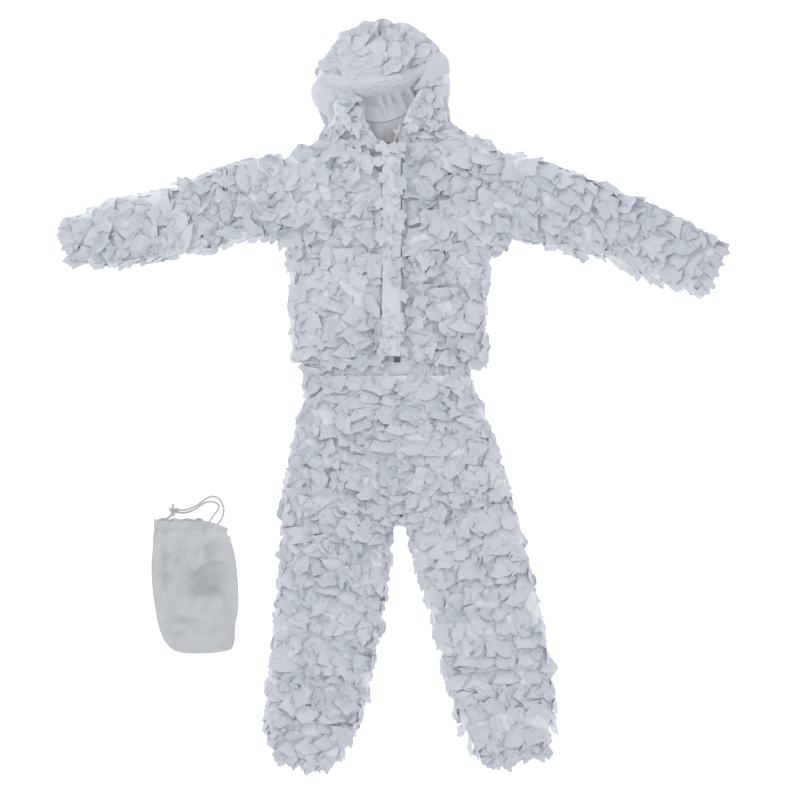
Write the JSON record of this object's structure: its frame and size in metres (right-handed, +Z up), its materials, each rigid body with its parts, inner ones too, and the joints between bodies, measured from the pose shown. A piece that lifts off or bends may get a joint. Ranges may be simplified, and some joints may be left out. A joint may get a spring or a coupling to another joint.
{
  "type": "ghillie suit",
  "caption": "Two-piece hooded camouflage suit covered in ruffled white leaf flaps, laid flat on its back, with its drawstring carry bag.",
  "frame": {"origin": "on the floor, at the centre of the rectangle that the laid-out suit and bag cover (without the loose ends of the bag's drawcord)", "axes": "+Z up from the floor that the suit lies on, +Y from the feet towards the hood, +X towards the left arm of a wearer facing up, which is the viewer's right"},
  "size_m": [1.7994, 2.0092, 0.122],
  "materials": {
    "leaf_cloth": "matt woven polyester, cut into ruffled leaf flaps",
    "base_cloth": "matt knitted polyester",
    "lining_cloth": "smooth polyester",
    "elastic": "gathered cloth over elastic",
    "label_cloth": "smooth woven tape, blank",
    "zip_tape": "woven tape",
    "zip_coil": "nylon coil",
    "zip_metal": "white painted",
    "placket_cloth": "smooth polyester",
    "bag_cloth": "smooth matt polyester",
    "cord": "braided polyester"
  },
  "bodies": {
    "jacket": {"jacket_back_cloth": "base_cloth", "jacket_back_leaf_cover": "leaf_cloth", "jacket_front_left_cloth": "base_cloth", "jacket_front_left_leaf_cover": "leaf_cloth", "jacket_front_right_cloth": "base_cloth", "jacket_front_right_leaf_cover": "leaf_cloth", "jacket_seams": "base_cloth", "jacket_hem_elastic": "elastic", "neck_label": "label_cloth", "zip_tape_left": "zip_tape", "zip_tape_right": "zip_tape", "zip_coil_left": "zip_coil", "zip_coil_right": "zip_coil", "zip_stops": "zip_metal", "placket_seam": "placket_cloth"},
    "zip_slider": {"zip_slider": "zip_metal"},
    "zip_pull": {"zip_pull": "zip_metal"},
    "placket_flap": {"placket_flap": "placket_cloth"},
    "hood": {"hood_back_cloth": "base_cloth", "hood_back_leaf_cover": "leaf_cloth", "hood_crown_cloth": "base_cloth", "hood_crown_leaf_cover": "leaf_cloth", "hood_lining": "lining_cloth", "hood_front_bands": "leaf_cloth", "hood_brim_binding": "elastic"},
    "upper_sleeve_left": {"upper_sleeve_left_cloth": "base_cloth", "upper_sleeve_left_leaf_cover": "leaf_cloth"},
    "lower_sleeve_left": {"lower_sleeve_left_cloth": "base_cloth", "lower_sleeve_left_leaf_cover": "leaf_cloth", "cuff_elastic_left": "elastic"},
    "upper_sleeve_right": {"upper_sleeve_right_cloth": "base_cloth", "upper_sleeve_right_leaf_cover": "leaf_cloth"},
    "lower_sleeve_right": {"lower_sleeve_right_cloth": "base_cloth", "lower_sleeve_right_leaf_cover": "leaf_cloth", "cuff_elastic_right": "elastic"},
    "trousers": {"trousers_back_cloth": "base_cloth", "trousers_back_leaf_cover": "leaf_cloth", "trousers_front_cloth": "base_cloth", "trousers_front_leaf_cover": "leaf_cloth", "trousers_side_seams": "base_cloth", "waistband_elastic": "elastic"},
    "thigh_left": {"thigh_left_cloth": "base_cloth", "thigh_left_leaf_cover": "leaf_cloth"},
    "shin_left": {"shin_left_cloth": "base_cloth", "shin_left_leaf_cover": "leaf_cloth", "ankle_elastic_left": "elastic"},
    "thigh_right": {"thigh_right_cloth": "base_cloth", "thigh_right_leaf_cover": "leaf_cloth"},
    "shin_right": {"shin_right_cloth": "base_cloth", "shin_right_leaf_cover": "leaf_cloth", "ankle_elastic_right": "elastic"},
    "bag": {"bag_back_panel": "bag_cloth", "bag_front_panel": "bag_cloth", "bag_seams": "bag_cloth", "bag_mouth_casing": "bag_cloth", "bag_drawcord_in_casing": "cord", "bag_drawcord_inner": "cord", "bag_drawcord_outer": "cord", "bag_cord_knot": "cord"}
  },
  "joints": [
    {"name": "shoulder_left", "type": "hinge", "parent": "jacket", "child": "upper_sleeve_left", "pos_m": [-0.345, 0.548, 0.03], "axis": [0, 0, 1], "range_deg": [-20, 35]},
    {"name": "elbow_left", "type": "hinge", "parent": "upper_sleeve_left", "child": "lower_sleeve_left", "pos_m": [-0.62512, 0.47294, 0.03], "axis": [0, 0, 1], "range_deg": [-10, 45]},
    {"name": "shoulder_right", "type": "hinge", "parent": "jacket", "child": "upper_sleeve_right", "pos_m": [0.336, 0.545, 0.03], "axis": [0, 0, -1], "range_deg": [-20, 35]},
    {"name": "elbow_right", "type": "hinge", "parent": "upper_sleeve_right", "child": "lower_sleeve_right", "pos_m": [0.61333, 0.46021, 0.03], "axis": [0, 0, -1], "range_deg": [-10, 45]},
    {"name": "hood_fold", "type": "hinge", "parent": "jacket", "child": "hood", "pos_m": [-0.016, 0.736, 0.076], "axis": [1, 0, 0], "range_deg": [0, 90]},
    {"name": "placket_turn", "type": "hinge", "parent": "jacket", "child": "placket_flap", "pos_m": [0.01, 0.4, 0.07], "axis": [0, 1, 0], "range_deg": [0, 95]},
    {"name": "zip_run", "type": "slide", "parent": "jacket", "child": "zip_slider", "axis": [0, -1, 0], "range_m": [0, 0.555]},
    {"name": "zip_pull_turn", "type": "hinge", "parent": "zip_slider", "child": "zip_pull", "pos_m": [-0.022, 0.671, 0.0484], "axis": [-1, 0, 0], "range_deg": [0, 150]},
    {"name": "trousers_apart", "type": "slide", "parent": "jacket", "child": "trousers", "axis": [0, -1, 0], "range_m": [0, 0.3]},
    {"name": "hip_left", "type": "hinge", "parent": "trousers", "child": "thigh_left", "pos_m": [-0.15, -0.29, 0.03], "axis": [0, 0, -1], "range_deg": [-4, 10]},
    {"name": "knee_left", "type": "hinge", "parent": "thigh_left", "child": "shin_left", "pos_m": [-0.18826, -0.65399, 0.076], "axis": [-0.9833, 0.1822, 0], "range_deg": [0, 170]},
    {"name": "hip_right", "type": "hinge", "parent": "trousers", "child": "thigh_right", "pos_m": [0.165, -0.29, 0.03], "axis": [0, 0, 1], "range_deg": [-4, 10]},
    {"name": "knee_right", "type": "hinge", "parent": "thigh_right", "child": "shin_right", "pos_m": [0.25973, -0.64353, 0.076], "axis": [-0.9816, -0.1908, 0], "range_deg": [0, 170]},
    {"name": "bag_apart", "type": "slide", "parent": "jacket", "child": "bag", "axis": [-1, 0, 0], "range_m": [0, 0.3]}
  ]
}
